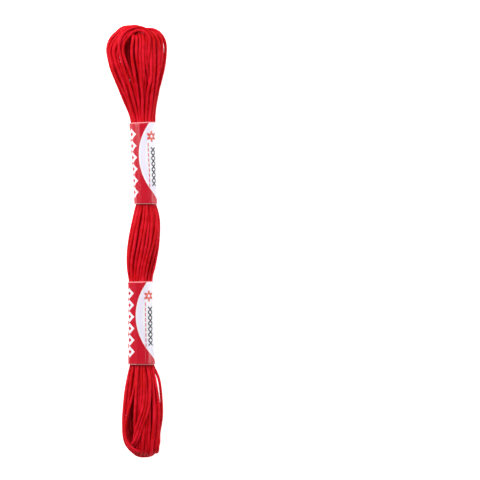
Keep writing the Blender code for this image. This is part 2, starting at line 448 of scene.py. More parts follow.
# Points this many steps apart show how sharply the line between them bends.
BEND_SPAN = 4
# How slackly hands lay the thread, in mm across, along and up, in waves of this many samples.
STIR, STIR_REACH = (0.28, 0.0, 0.2), 31
# The thread settles in rounds. It looks up its neighbours again every few rounds, within this many
# thicknesses, and leaves out the next few points along itself.
ROUNDS, LOOK_AGAIN, NEIGHBOUR_REACH, NEXT_ALONG = 90, 10, 1.45, 3
# The share of an overlap that each side gives way, how much the sum of such shifts is pushed on, and how
# strongly the thread is drawn back to where it was laid.
GIVE_WAY, PUSH_ON, DRAW_BACK = 0.4, 1.5, 0.03
# In mm: how much of each loop is held in by its tip alone, and a section's least half width and height.
OPEN_END, LEAST_HALF = 12, 0.3


def resampled(points, step):
    """Points a step apart along the line, with whatever further columns they have."""
    lengths = np.concatenate([[0.0], np.cumsum(np.linalg.norm(np.diff(points[:, :3], axis=0), axis=1))])
    count = int(lengths[-1] / step)
    at = np.linspace(0, lengths[-1], count + 1)
    return np.stack([np.interp(at, lengths, column) for column in points.T], axis=1)


def smoothed(points, rounds):
    """Irons out kinks without drawing the loops in: each round shrinks and then swells by as much."""
    for _ in range(rounds):
        for strength in (SHRINK, SWELL):
            points[1:-1] += strength * ((points[:-2] + points[2:]) / 2 - points[1:-1])
    return points


def waves(noise, reach):
    """Noise evened out over a reach of samples, at the same size."""
    kernel = np.hanning(reach)
    return np.convolve(noise, kernel / np.sqrt(np.sum(kernel ** 2)), mode="same")


def close_pairs(points, reach, skip):
    """Pairs of points within reach of each other that are more than skip steps apart along the line."""
    tree = KDTree(len(points))
    for i, p in enumerate(points):
        tree.insert(p, i)
    tree.balance()
    pairs = [(i, j) for i, p in enumerate(points) for _, j, _ in tree.find_range(p, reach) if j > i + skip]
    return np.array(pairs).T


def part_neighbours(points, a, b, thread):
    """Pushes pairs of points that are too close some of the way to the thread's own thickness apart."""
    gap = points[b] - points[a]
    far = np.linalg.norm(gap, axis=1)
    near = far < thread
    push = gap[near] / np.maximum(far[near], 1e-6)[:, None] * ((thread - far[near]) * GIVE_WAY)[:, None]
    shift = np.zeros_like(points)
    hits = np.zeros(len(points))
    np.add.at(shift, a[near], -push)
    np.add.at(shift, b[near], push)
    np.add.at(hits, a[near], 1)
    np.add.at(hits, b[near], 1)
    points += shift / np.maximum(hits, 1)[:, None] * PUSH_ON


def keep_length(points, step):
    """Brings neighbours along the line back to their steps, every other step at a time."""
    for half in (0, 1):
        i = np.arange(half, len(points) - 1, 2)
        d = points[i + 1] - points[i]
        length = np.linalg.norm(d, axis=1)
        fix = d * ((length - step[i]) / np.maximum(length, 1e-6) / 2)[:, None]
        points[i] += fix
        points[i + 1] -= fix


def open_bends(points, least_bend):
    """Pushes apart points a few steps from each other where the line between them bends too sharply."""
    chord = 2 * least_bend * math.sin(BEND_SPAN / 2 * SAMPLE / least_bend)
    for start in range(BEND_SPAN + 1):
        i = np.arange(start, len(points) - BEND_SPAN, BEND_SPAN + 1)
        gap = points[i + BEND_SPAN] - points[i]
        far = np.linalg.norm(gap, axis=1)
        fix = gap * (np.maximum(chord - far, 0) / np.maximum(far, 1e-6) / 2)[:, None]
        points[i] -= fix
        points[i + BEND_SPAN] += fix


def contain(points, room, radius, reach):
    """Brings points back into the room, or to their reach where they stray, and up on to the table."""
    y = points[:, 1]
    np.clip(y, room.bottom + radius, room.top - radius, out=y)
    mx, mz, hx, hz = room.at(y)
    hx, hz = np.maximum(hx - radius, LEAST_HALF), np.maximum(hz - radius, LEAST_HALF)
    u, v = (points[:, 0] - mx) / hx, (points[:, 2] - mz) / hz
    r = np.hypot(u, v)
    open_end = (y > room.top - OPEN_END) | (y < room.bottom + OPEN_END)
    out = (r > reach) & ~open_end
    back = reach[out] / r[out]
    points[out, 0] = mx[out] + u[out] * back * hx[out]
    points[out, 2] = mz[out] + v[out] * back * hz[out]
    np.maximum(points[:, 2], radius, out=points[:, 2])


def settled(points, room, thread, least_bend):
    """The thread pushes itself apart, stays smooth and stays in its room.

    The rounds end before every pass is a whole thickness from the next, so some still overlap.
    """
    points = resampled(smoothed(points, FIRST_SMOOTHING), SAMPLE)
    points, stray = points[:, :3].copy(), points[:, 3]
    noise = np.random.default_rng(STIR_SEED).normal(0, 1, (len(points), 3))
    points += np.stack([waves(column, STIR_REACH) for column in noise.T], axis=1) * STIR
    aim = points.copy()
    step = np.linalg.norm(np.diff(points, axis=0), axis=1)
    for turn in range(ROUNDS):
        if turn % LOOK_AGAIN == 0:
            a, b = close_pairs(points, thread * NEIGHBOUR_REACH, NEXT_ALONG)
        part_neighbours(points, a, b, thread)
        points += (aim - points) * DRAW_BACK
        keep_length(points, step)
        open_bends(points, least_bend)
        points = smoothed(points, SMOOTHING)
        contain(points, room, thread / 2, 1 + stray)
    return points


# The mesh's rings stand closest at the crowns and sparsest out of sight. All are in mm: the steps, how far
# from a tip the crowns reach, and how far inside a band the thread is out of sight.
Rings = namedtuple("Rings", "crown open hidden crown_reach hidden_margin")
RINGS = Rings(crown=0.8, open=1.3, hidden=4.0, crown_reach=12.0, hidden_margin=1.5)
FACES_PER_STRAND = 3
TWIST_SEED = 21
# The strands' twist runs ahead or lags by about this many radians, and the thread is fatter or thinner by
# about this share. Each changes over this many rings.
TWIST_WANDER, TWIST_REACH = 0.9, 41
PLUMPNESS, PLUMP_REACH = 0.045, 25


def in_bands(y, room, margin):
    """Which points lie further than the margin inside a band."""
    return np.any([(y > a + margin) & (y < b - margin) for a, b in room.bands], axis=0)


def ring_places(points, room, rings):
    """How far along the thread each point is, and each ring of the mesh stands."""
    length = np.concatenate([[0.0], np.cumsum(np.linalg.norm(np.diff(points, axis=0), axis=1))])
    y = points[:, 1]
    crown = (y > room.top - rings.crown_reach) | (y < room.bottom + rings.crown_reach)
    hidden = in_bands(y, room, rings.hidden_margin)
    step = np.where(hidden, rings.hidden, np.where(crown, rings.crown, rings.open))
    steps = np.concatenate([[0.0], np.cumsum(np.diff(length) / step[1:])])
    return length, np.interp(np.linspace(0, steps[-1], int(steps[-1]) + 1), steps, length)


def tube_frames(points):
    """Two square directions across the line at every point, that don't twist about it."""
    along = np.gradient(points, axis=0)
    along /= np.linalg.norm(along, axis=1)[:, None]
    side = np.empty_like(points)
    side[0] = np.cross(along[0], (0.0, 0.0, 1.0))
    side[0] /= np.linalg.norm(side[0])
    for i in range(1, len(points)):
        across = side[i - 1] - along[i] * np.dot(side[i - 1], along[i])
        side[i] = across / np.linalg.norm(across)
    return side, np.cross(along, side)


def wandering(count, reach, rng):
    """A smooth random run of values of about one in size."""
    return waves(rng.normal(0, 1, count + reach), reach)[:count]


def thread_mesh(floss, route, room):
    """A grid rolled round the route: six strands side by side that turn about each other. UV: turns, mm."""
    length, at = ring_places(route, room, RINGS)
    side, up = tube_frames(route)
    fine, side, up = (np.stack([np.interp(at, length, c) for c in t.T], axis=1) for t in (route, side, up))
    rng = np.random.default_rng(TWIST_SEED)
    turn = 2 * math.pi * at * MM / floss.twist_length + TWIST_WANDER * wandering(len(at), TWIST_REACH, rng)
    plump = 1 + PLUMPNESS * wandering(len(at), PLUMP_REACH, rng)

    around = floss.strands * FACES_PER_STRAND
    shape = bmesh.new()
    shape.loops.layers.uv.new("ply")
    bmesh.ops.create_grid(shape, x_segments=around, y_segments=len(at) - 1, size=0.5, calc_uvs=True)
    corners = np.array([v.co for v in shape.verts])
    col = np.rint((corners[:, 0] + 0.5) * around).astype(int)
    row = np.rint((corners[:, 1] + 0.5) * (len(at) - 1)).astype(int)
    angle = col * (2 * math.pi / around) + turn[row]
    valley = np.where(col % FACES_PER_STRAND == 0, 1 - floss.strand_depth, 1.0)
    radius = floss.thread_diameter / 2 / MM * valley * plump[row]
    outwards = side[row] * np.cos(angle)[:, None] + up[row] * np.sin(angle)[:, None]
    places = fine[row] + outwards * radius[:, None]
    places[:, 2] = np.maximum(places[:, 2], 0.0)
    ply = shape.loops.layers.uv.active
    for vertex, place, c, r in zip(shape.verts, places * MM, col, row):
        vertex.co = place
        for loop in vertex.link_loops:
            loop[ply].uv = (c / around, at[r])
    bmesh.ops.remove_doubles(shape, verts=shape.verts, dist=1e-7)
    bmesh.ops.holes_fill(shape, edges=[e for e in shape.edges if e.is_boundary], sides=0)
    bmesh.ops.recalc_face_normals(shape, faces=shape.faces)
    mesh = bpy.data.meshes.new("floss")
    shape.to_mesh(mesh)
    shape.free()
    mesh.shade_smooth()
    return mesh


# ---------------------------------------------------------------------------------------------
# The paper bands
# ---------------------------------------------------------------------------------------------

# The strip starts and ends under the left side, where its two ends are glued one over the other.
LAP_FROM, LAP_TO = 200.0, 245.0
# Where on its way round, in degrees, the strip faces straight up. The print is measured from there.
FRONT = 450.0
# How many thicknesses the lap's under end goes below the over end, and in how many degrees each end
# comes to its place.
LAP_DEPTH, UNDER_RAMP, OVER_RAMP = 1.2, 10, 6
# How far in mm the table presses the underside flat.
PRESSED_FLAT = 0.25
# Room in mm that the paper keeps from the thread, and how far its folds stand out of the round.
SLACK, FOLD_OUT = 0.12, 0.16
# The strip's faces, round the neck and down it.
AROUND, DOWN = 150, 44
# Fine ridges run down the paper: how many kinds, their height in mm, the fewest that go round, and how
# far in radians for each mm down the finer ones lean.
RIDGES, RIDGE_HEIGHT, FEWEST_ROUND, RIDGE_LEAN = 12, 0.006, 9, 0.04

# Folds that handling leaves along a band: where each runs at the band's top and bottom, in degrees
# round it, and how flat the paper is between it and the next.
Fold = namedtuple("Fold", "top bottom flatness")
# How much lower, in mm for each mm to the left, the strip's upper edge runs, its folds from left to
# right, and the seed of its ridges.
Wrap = namedtuple("Wrap", "slope folds ridge_seed")
WRAPS = {
    "band_upper": Wrap(
        slope=0.045,
        folds=(Fold(155, 160, 0.9), Fold(127, 138, 0.95), Fold(100, 117, 0.95), Fold(72, 78, 0.6),
               Fold(50, 52, 0.5), Fold(15, 15, 0.2)),
        ridge_seed=5,
    ),
    "band_lower": Wrap(
        slope=0.02,
        folds=(Fold(152, 152, 0.95), Fold(112, 110, 0.95), Fold(74, 74, 0.6), Fold(50, 50, 0.5),
               Fold(15, 15, 0.2)),
        ridge_seed=6,
    ),
}


def band_section(ring, degrees, inset):
    """A point on the band's outer surface, or inset under it, as x and z in mm."""
    left, right, low, high = ring
    half_z = (high + PRESSED_FLAT) / 2
    angle = math.radians(degrees)
    x = (left + right) / 2 + ((right - left) / 2 - inset) * math.cos(angle)
    z = half_z - PRESSED_FLAT + (half_z - inset) * math.sin(angle)
    return np.array([x, max(z, low + inset)])


def folded_point(ring, folds, share, degrees, inset):
    """The same, drawn towards the flat chord between the two folds that the point lies between."""
    place = band_section(ring, degrees, inset)
    wrapped = (degrees + 180) % 360 - 180
    for left, right in zip(folds, folds[1:]):
        high = left.top + (left.bottom - left.top) * share
        low = right.top + (right.bottom - right.top) * share
        if low <= wrapped <= high:
            t = (wrapped - low) / (high - low)
            inset -= FOLD_OUT * left.flatness
            chord = (1 - t) * band_section(ring, low, inset) + t * band_section(ring, high, inset)
            place = place + (chord - place) * left.flatness
    return place


def ridge(kinds, degrees, y):
    """How far the paper's ridges stand out at a point, for heights of about one each."""
    where = math.radians(degrees)
    return sum(r * math.sin(where * (FEWEST_ROUND + 2 * k) + RIDGE_LEAN * k * y) for k, r in enumerate(kinds))


def paper_mesh(node, thickness):
    """A strip of paper wound once round the neck and lapped. UV: mm across from the front, mm down."""
    low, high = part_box(node)
    height = (high.y - low.y) / MM
    rings = np.array(node_rings(node))
    wrap = WRAPS[node]
    kinds = np.random.default_rng(wrap.ridge_seed).normal(0, 1, RIDGES)
    turn = 360.0 + LAP_TO - LAP_FROM
    degrees = LAP_FROM + turn * np.arange(AROUND + 1) / AROUND
    under = np.clip((LAP_TO + UNDER_RAMP - degrees) / UNDER_RAMP, 0, 1)
    over = np.clip((degrees - 360 - LAP_FROM + OVER_RAMP) / OVER_RAMP, 0, 1)
    across = np.zeros((DOWN + 1, AROUND + 1))
    places = np.zeros((DOWN + 1, AROUND + 1, 3))
    for j in range(DOWN + 1):
        y = high.y / MM - height * j / DOWN
        ring = [np.interp(y, rings[:, 0], rings[:, k]) for k in range(1, 5)]
        for i, angle in enumerate(degrees):
            ripple = RIDGE_HEIGHT * ridge(kinds, angle, y) * (1 - over[i]) * (1 - under[i])
            inset = thickness * (0.5 + LAP_DEPTH * under[i]) + ripple
            x, z = folded_point(ring, wrap.folds, j / DOWN, angle, inset)
            lower = wrap.slope * (ring[1] - x) * (1 - j / DOWN)
            places[j, i] = x, y - lower, max(z, thickness / 2)
        run = np.concatenate([[0.0], np.cumsum(np.linalg.norm(np.diff(places[j], axis=0), axis=1))])
        across[j] = np.interp(FRONT, degrees, run) - run

    shape = bmesh.new()
    label = shape.loops.layers.uv.new("print")
    bmesh.ops.create_grid(shape, x_segments=AROUND, y_segments=DOWN, size=0.5)
    for vertex in shape.verts:
        i, j = round((vertex.co.x + 0.5) * AROUND), round((0.5 - vertex.co.y) * DOWN)
        for loop in vertex.link_loops:
            loop[label].uv = (across[j, i], height * j / DOWN)
        vertex.co = places[j, i] * MM
    mesh = bpy.data.meshes.new(node + "_paper")
    shape.to_mesh(mesh)
    shape.free()
    mesh.shade_smooth()
    return mesh


# ---------------------------------------------------------------------------------------------
# Finishes
# ---------------------------------------------------------------------------------------------

MATH, VECTOR_MATH = "ShaderNodeMath", "ShaderNodeVectorMath"
MIX, NOISE = "ShaderNodeMix", "ShaderNodeTexNoise"


def linear(hex_colour):
    """An sRGB hex colour as linear RGBA."""
    channels = [int(hex_colour[k:k + 2], 16) / 255 for k in (1, 3, 5)]
    return tuple(c / 12.92 if c <= 0.04045 else ((c + 0.055) / 1.055) ** 2.4 for c in channels) + (1.0,)


def add(tree, name, kind, inputs, **settings):
    """Adds a named node. An input is a value, or the name of an earlier node and its output's number."""
    node = tree.nodes.new(kind)
    node.name = name
    for setting, value in settings.items():
        setattr(node, setting, value)
    for key, value in inputs.items():
        if isinstance(value, str):
            source, _, output = value.partition(".")
            tree.links.new(tree.nodes[source].outputs[int(output or 0)], node.inputs[key])
        else:
            node.inputs[key].default_value = value
    return node


def finish(name, steps, ends, constants):
    """A material from its steps, what they end in on the shader, and the shader's own values."""
    made = bpy.data.materials.new(name)
    made.use_nodes = True
    tree = made.node_tree
    shader = tree.nodes["Principled BSDF"]
    for step, kind, inputs, settings in steps:
        add(tree, step, kind, inputs, **settings)
    for key, source in ends.items():
        node, _, output = source.partition(".")
        tree.links.new(tree.nodes[node].outputs[int(output or 0)], shader.inputs[key])
    for key, value in constants.items():
        shader.inputs[key].default_value = value
    return made


def mercerised_cotton(floss):
    """Mercerised cotton is swollen in lye under tension: silky, deep in colour, with a soft line of light.

    Each of its strands is two plies, which cross it on a slant every 0.9 mm, and fine fibres lie along
    them.
    """
    add_up = {"operation": "MULTIPLY_ADD"}
    steps = [
        ("turns_mm", "ShaderNodeUVMap", {}, {"uv_map": "ply"}),
        ("split", "ShaderNodeSeparateXYZ", {0: "turns_mm"}, {}),
        ("strand", MATH, {0: "split.0", 1: float(floss.strands)}, {"operation": "MULTIPLY"}),
        ("slant", MATH, {0: "split.1", 1: MM / floss.ply_length, 2: "strand"}, add_up),
        ("ply", MATH, {0: "slant", 1: 0.5}, {"operation": "PINGPONG"}),
        ("crest", MATH, {0: "strand", 1: 0.5}, {"operation": "PINGPONG"}),
        ("across_fibres", MATH, {0: "slant", 1: 7.0}, {"operation": "MULTIPLY"}),
        ("along_fibres", MATH, {0: "split.1", 1: 0.5}, {"operation": "MULTIPLY"}),
        ("fibre_place", "ShaderNodeCombineXYZ", {0: "across_fibres", 1: "along_fibres"}, {}),
        ("fibres", NOISE, {"Vector": "fibre_place", "Scale": 1.0, "Detail": 3.0},
         {"noise_dimensions": "2D"}),
        ("object", "ShaderNodeTexCoord", {}, {}),
        # A painted highlight: the pink crest colour is laid in random patches, over a centimetre or so of
        # thread and in patches of 2 mm.
        ("patch_run_place", MATH, {0: "split.1", 1: 0.06}, {"operation": "MULTIPLY"}),
        ("dye", NOISE, {"W": "patch_run_place", "Scale": 1.0, "Detail": 2.0}, {"noise_dimensions": "1D"}),
        ("cloud", NOISE, {"Vector": "object.3", "Scale": 420.0, "Detail": 2.0}, {}),
        # Painted shade: the colour goes to the groove colour in the grooves between strands and between the
        # slanting plies, and to the floss colour on their crests. The fibre noise varies it at random.
        ("lit", MATH, {0: "crest", 1: 1.1, 2: 0.2}, add_up),
        ("lit_ply", MATH, {0: "ply", 1: 0.5, 2: "lit"}, add_up),
        ("lit_fibre", MATH, {0: "fibres", 1: 0.5, 2: "lit_ply"}, add_up),
        ("tone", MIX, {0: "lit_fibre", 6: tuple(floss.groove_shade_colour), 7: tuple(floss.floss_colour)},
         {"data_type": "RGBA"}),
        ("uneven", MATH, {0: "dye", 1: "cloud"}, {"operation": "MULTIPLY"}),
        ("highlight_patches", MATH, {0: "uneven", 1: 3.4, 2: -0.45}, {"operation": "MULTIPLY_ADD", "use_clamp": True}),
        ("colour", MIX, {0: "highlight_patches", 6: "tone.2", 7: tuple(floss.crest_highlight_colour)}, {"data_type": "RGBA"}),
        ("rise", MATH, {0: "crest", 1: 0.8, 2: "ply"}, add_up),
        ("height", MATH, {0: "fibres", 1: 0.5, 2: "rise"}, add_up),
        ("bump", "ShaderNodeBump", {"Height": "height", "Strength": 0.7, "Distance": 0.00012}, {}),
        ("rough", "ShaderNodeMapRange", {"Value": "fibres", "To Min": 0.34, "To Max": 0.5}, {}),
    ]
    ends = {"Base Color": "colour.2", "Normal": "bump", "Roughness": "rough"}
    constants = {"Specular IOR Level": 0.06, "Sheen Weight": 0.01, "Sheen Roughness": 0.35,
                 "Sheen Tint": linear("#ff8090")}
    return finish("mercerised_cotton", steps, ends, constants)


# The print, in mm across from where the strip faces straight up, and down from its upper cut.
FIELD_CENTRE, FIELD_RADIUS, RIM_RADIUS = (19.6, 13.7, 0.0), 21.5, 20.9
CRESCENT_CENTRE, CRESCENT_RADIUS = (22.4, 13.7, 0.0), 21.7
# The diamonds' number, the top of the first, their pitch, half their width and how far left they stand,
# then the middle and half the breadth of a diamond's line as shares of the diamond.
DIAMONDS, DIAMOND_TOP, DIAMOND_PITCH, DIAMOND_HALF, DIAMOND_LEFT = 6, 2.3, 4.6, 2.5, 5.05
DIAMOND_LINE, DIAMOND_LINE_HALF = 0.68, 0.29
# Each line of stitches: its place across, its middle and half its length down, and half its breadth.
CROSS_ACROSS, CROSS_MIDDLE, CROSS_REACH, CROSS_LINE_HALF = 4.1, 17.6, 7.7, 0.42
RUN_ACROSS, RUN_MIDDLE, RUN_REACH, RUN_LINE_HALF = 2.0, 17.0, 9.0, 0.19
# Half a cross stitch, half the pitch of the running stitch, and half the gap between its stitches.
CROSS_HALF, RUN_HALF_PITCH, RUN_HALF_GAP = 1.1, 1.0, 0.28
# The rosette's centre, its radius between petals, how much that grows for each turn round, and its eye.
ROSETTE_CENTRE, PETALS, ROSETTE_WAIST, PETAL_RISE, EYE_RADIUS = (3.6, 5.7, 0.0), 6, 1.1, 16.0, 0.55
# Width in mm of the pale line painted along each cut edge: the white cut edge with a painted highlight.
PALE_EDGE_LINE = 0.3


def coated_label_paper(bands, node):
    """Label paper with a clay coat, printed and varnished: even colour under a hard, slightly wavy gloss.

    The print is a round white field on red, a border of white diamonds, a rosette and two lines of
    stitches.
    """
    length = (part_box(node)[1].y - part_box(node)[0].y) / MM
    pitch = DIAMOND_PITCH
    half_row = DIAMONDS / 2 * pitch
    red = tuple(bands.red_ink)
    white = tuple(bands.white_ink)
    accent = tuple(bands.accent_ink)
    compare, multiply = {"operation": "COMPARE"}, {"operation": "MULTIPLY"}
    rgba = {"data_type": "RGBA"}
    steps = [
        ("place", "ShaderNodeUVMap", {}, {"uv_map": "print"}),
        ("split", "ShaderNodeSeparateXYZ", {0: "place"}, {}),
        # The round field and the paler crescent inside its left rim.
        ("field_far", VECTOR_MATH, {0: "place", 1: FIELD_CENTRE}, {"operation": "DISTANCE"}),
        ("field", MATH, {0: "field_far.1", 1: FIELD_RADIUS}, {"operation": "LESS_THAN"}),
        ("rim", MATH, {0: "field_far.1", 1: RIM_RADIUS}, {"operation": "LESS_THAN"}),
        ("inner_far", VECTOR_MATH, {0: "place", 1: CRESCENT_CENTRE}, {"operation": "DISTANCE"}),
        ("inner", MATH, {0: "inner_far.1", 1: CRESCENT_RADIUS}, {"operation": "GREATER_THAN"}),
        ("crescent", MATH, {0: "rim", 1: "inner"}, multiply),
        # Open diamonds down the left edge, as in counted stitch.
        ("from_row", MATH, {0: "split.0", 1: DIAMOND_LEFT}, {"operation": "ADD"}),
        ("beside", MATH, {0: "from_row"}, {"operation": "ABSOLUTE"}),
        ("from_top", MATH, {0: "split.1", 1: DIAMOND_TOP + pitch / 2}, {"operation": "SUBTRACT"}),
        ("within_cell", MATH, {0: "from_top", 1: pitch / 2}, {"operation": "PINGPONG"}),
        ("ring_across", MATH, {0: "beside", 1: 1 / DIAMOND_HALF}, multiply),
        ("ring", MATH, {0: "within_cell", 1: 2 / pitch, 2: "ring_across"}, {"operation": "MULTIPLY_ADD"}),
        ("diamond", MATH, {0: "ring", 1: DIAMOND_LINE, 2: DIAMOND_LINE_HALF}, compare),
        ("row", MATH, {0: "split.1", 1: DIAMOND_TOP + half_row, 2: half_row}, compare),
        ("diamonds", MATH, {0: "diamond", 1: "row"}, multiply),
        # Dark cross stitches, and a finer running stitch beside them.
        ("from_cross", MATH, {0: "split.0", 1: CROSS_ACROSS}, {"operation": "SUBTRACT"}),
        ("cross_x", MATH, {0: "from_cross"}, {"operation": "ABSOLUTE"}),
        ("cross_y", MATH, {0: "split.1", 1: CROSS_HALF}, {"operation": "PINGPONG"}),
        ("cross", MATH, {0: "cross_x", 1: "cross_y", 2: CROSS_LINE_HALF}, compare),
        ("cross_row", MATH, {0: "split.1", 1: CROSS_MIDDLE, 2: CROSS_REACH}, compare),
        ("cross_width", MATH, {0: "cross_x", 1: CROSS_HALF}, {"operation": "LESS_THAN"}),
        ("cross_in", MATH, {0: "cross", 1: "cross_row"}, multiply),
        ("crosses", MATH, {0: "cross_in", 1: "cross_width"}, multiply),
        ("run", MATH, {0: "split.0", 1: RUN_ACROSS, 2: RUN_LINE_HALF}, compare),
        ("run_gap", MATH, {0: "split.1", 1: RUN_HALF_PITCH}, {"operation": "PINGPONG"}),
        ("run_stitch", MATH, {0: "run_gap", 1: RUN_HALF_GAP}, {"operation": "GREATER_THAN"}),
        ("run_row", MATH, {0: "split.1", 1: RUN_MIDDLE, 2: RUN_REACH}, compare),
        ("run_in", MATH, {0: "run", 1: "run_stitch"}, multiply),
        ("running", MATH, {0: "run_in", 1: "run_row"}, multiply),
        # A rosette at the stitches' head.
        ("from_rosette", VECTOR_MATH, {0: "place", 1: ROSETTE_CENTRE}, {"operation": "SUBTRACT"}),
        ("rosette_far", VECTOR_MATH, {0: "from_rosette"}, {"operation": "LENGTH"}),
        ("rosette_turn", "ShaderNodeTexGradient", {0: "from_rosette"}, {"gradient_type": "RADIAL"}),
        ("petal", MATH, {0: "rosette_turn.1", 1: 1 / (2 * PETALS)}, {"operation": "PINGPONG"}),
        ("petal_reach", MATH, {0: "petal", 1: PETAL_RISE, 2: ROSETTE_WAIST}, {"operation": "MULTIPLY_ADD"}),
        ("rosette", MATH, {0: "rosette_far.1", 1: "petal_reach"}, {"operation": "LESS_THAN"}),
        ("eye", MATH, {0: "rosette_far.1", 1: EYE_RADIUS}, {"operation": "LESS_THAN"}),
        # A pale line is painted along both cut edges: the white cut edge, with a painted highlight where it
        # catches the light.
        ("printed", MATH, {0: "split.1", 1: length / 2, 2: length / 2 - PALE_EDGE_LINE}, compare),
        ("with_field", MIX, {0: "field", 6: red, 7: white}, rgba),
        ("with_crescent", MIX, {0: "crescent", 6: "with_field.2", 7: tuple(bands.lilac_ink)}, rgba),
        ("with_diamonds", MIX, {0: "diamonds", 6: "with_crescent.2", 7: white}, rgba),
        ("with_crosses", MIX, {0: "crosses", 6: "with_diamonds.2", 7: tuple(bands.dark_ink)}, rgba),
        ("with_running", MIX, {0: "running", 6: "with_crosses.2", 7: accent}, rgba),
        ("with_rosette", MIX, {0: "rosette", 6: "with_running.2", 7: accent}, rgba),
        ("with_eye", MIX, {0: "eye", 6: "with_rosette.2", 7: white}, rgba),
        ("colour", MIX, {0: "printed", 6: tuple(bands.cut_edge), 7: "with_eye.2"}, rgba),
        ("object", "ShaderNodeTexCoord", {}, {}),
        # The coat's grain is 0.7 mm wide and handling leaves dents of 5 mm.
        ("coat", NOISE, {"Vector": "object.3", "Scale": 1500.0, "Detail": 2.0}, {}),
        ("handling", NOISE, {"Vector": "object.3", "Scale": 190.0, "Detail": 2.0}, {}),
        ("uneven", MATH, {0: "coat", 1: 0.25, 2: "handling"}, {"operation": "MULTIPLY_ADD"}),
        ("bump", "ShaderNodeBump", {"Height": "uneven", "Strength": 0.35, "Distance": 0.00012}, {}),
        ("rough", "ShaderNodeMapRange", {"Value": "handling", "To Min": 0.2, "To Max": 0.32}, {}),
    ]
    ends = {"Base Color": "colour.2", "Normal": "bump", "Roughness": "rough"}
    constants = {"Specular IOR Level": 0.35, "Coat Weight": 0.1, "Coat Roughness": 0.15}
    return finish(node + "_coated_paper", steps, ends, constants)


def paper_core(bands):
    """The cut edge of the paper, where its uncoated core shows: matt and fibrous."""
    steps = [
        ("object", "ShaderNodeTexCoord", {}, {}),
        # Fibres show as flecks of 0.2 mm.
        ("fibres", NOISE, {"Vector": "object.3", "Scale": 6000.0, "Detail": 2.0}, {}),
        ("colour", MIX, {0: "fibres", 6: tuple(bands.cut_edge), 7: tuple(bands.white_ink)},
         {"data_type": "RGBA"}),
    ]
    return finish("uncoated_paper_core", steps, {"Base Color": "colour.2"}, {"Roughness": 0.85})


def matt_laminate(stage):
    """A matt white laminate table top, smooth and even."""
    steps = [
        ("object", "ShaderNodeTexCoord", {}, {}),
        ("grain", NOISE, {"Vector": "object.3", "Scale": 300.0, "Detail": 2.0}, {}),
        ("colour", MIX, {0: "grain", 6: linear("#f2f2f2"), 7: linear("#f6f6f6")}, {"data_type": "RGBA"}),
    ]
    constants = {"Roughness": 0.9, "Specular IOR Level": 0.1, "Emission Color": (1.0, 1.0, 1.0, 1.0),
                 "Emission Strength": stage.floor_glow}
    return finish("matt_white_laminate", steps, {"Base Color": "colour.2"}, constants)


# ---------------------------------------------------------------------------------------------
# What a user may change
# ---------------------------------------------------------------------------------------------


def colour_property(name, description, hex_colour):
    return FloatVectorProperty(
        name=name, description=description, subtype="COLOR", size=4,
        default=linear(hex_colour), min=0.0, max=1.0,
    )


def length_property(name, description, default, low, high):
    return FloatProperty(
        name=name, description=description, default=default, min=low, max=high, unit="LENGTH"
    )


def softbox_property(name, watts):
    return FloatProperty(name=name, description="Watts", default=watts, min=0.0, max=100.0)


class FlossSettings(bpy.types.PropertyGroup):
    thread_diameter: length_property("Thread diameter", "All six strands together", 0.0012, 0.0008, 0.002)
    thread_length: length_property("Thread length", "Length of floss in the skein", 8.0, 4.0, 12.0)
    strands: IntProperty(
        name="Strands", description="Strands that lie side by side in the thread", default=6, min=3, max=8
    )
    twist_length: length_property("Twist", "Length in which the strands turn once", 0.017, 0.008, 0.05)
    ply_length: length_property("Ply", "Distance between the slanting plies", 0.0009, 0.0004, 0.003)
    strand_depth: FloatProperty(
        name="Groove depth", description="Groove between strands as a share of the radius",
        default=0.19, min=0.0, max=0.3, subtype="FACTOR",
    )
    neck_turn: FloatProperty(
        name="Turn between necks", description="How far the bundle turns between the bands",
        default=math.radians(25.0), min=0.0, max=math.pi, subtype="ANGLE",
    )
    least_bend: length_property("Tightest bend", "Sharper bends are eased towards it", 0.0028, 0.001, 0.006)
    floss_colour: colour_property("Floss", "Dyed cotton in plain light", "#c4060e")
    # Painted shade: the colour painted into the grooves between strands.
    groove_shade_colour: colour_property("Grooves", "Dyed cotton between strands", "#980502")
    # Painted highlight: the pink colour laid in random patches on the thread.
    crest_highlight_colour: colour_property("Crests", "Dyed cotton where it is rubbed bright", "#da162d")


class BandSettings(bpy.types.PropertyGroup):
    paper_thickness: length_property("Paper", "Thickness of the label paper", 0.00013, 0.00008, 0.0003)
    flat_width: length_property("Cut width", "Width the strip was cut to, round the neck", 0.033, 0.02, 0.05)
    red_ink: colour_property("Red ink", "Ground of the print", "#b80a24")
    white_ink: colour_property("White", "Unprinted coated paper", "#dfdee4")
    lilac_ink: colour_property("Lilac ink", "Crescent inside the round field", "#dad5e4")
    dark_ink: colour_property("Dark ink", "Cross stitches", "#2b2d33")
    accent_ink: colour_property("Accent ink", "Rosette and running stitch", "#cd4f45")
    # Painted along the cut edges: the pale cut edge with a painted highlight.
    cut_edge: colour_property("Cut edge", "Unprinted line along the cuts", "#e08a8c")


class StageSettings(bpy.types.PropertyGroup):
    view_width: length_property("View width", "Width of table in the picture", 0.1895, 0.05, 1.0)
    view_centre: FloatVectorProperty(
        name="View centre", description="Where the camera looks",
        size=2, default=(0.0404, 0.0005), subtype="XYZ", unit="LENGTH",
    )
    lens: FloatProperty(
        name="Lens", description="Focal length in millimetres", default=200.0, min=50.0, max=300.0
    )
    key_power: softbox_property("Left softbox", 5.2)
    fill_power: softbox_property("Right softbox", 3.4)
    head_power: softbox_property("Head softbox", 3.0)
    foot_power: softbox_property("Foot softbox", 0.4)
    sky: FloatProperty(
        name="Room light", description="Even light from all round", default=0.2, min=0.0, max=2.0
    )
    floor_glow: FloatProperty(
        name="Table glow", description="Keeps the table white under soft shadows",
        default=0.75, min=0.0, max=1.0,
    )


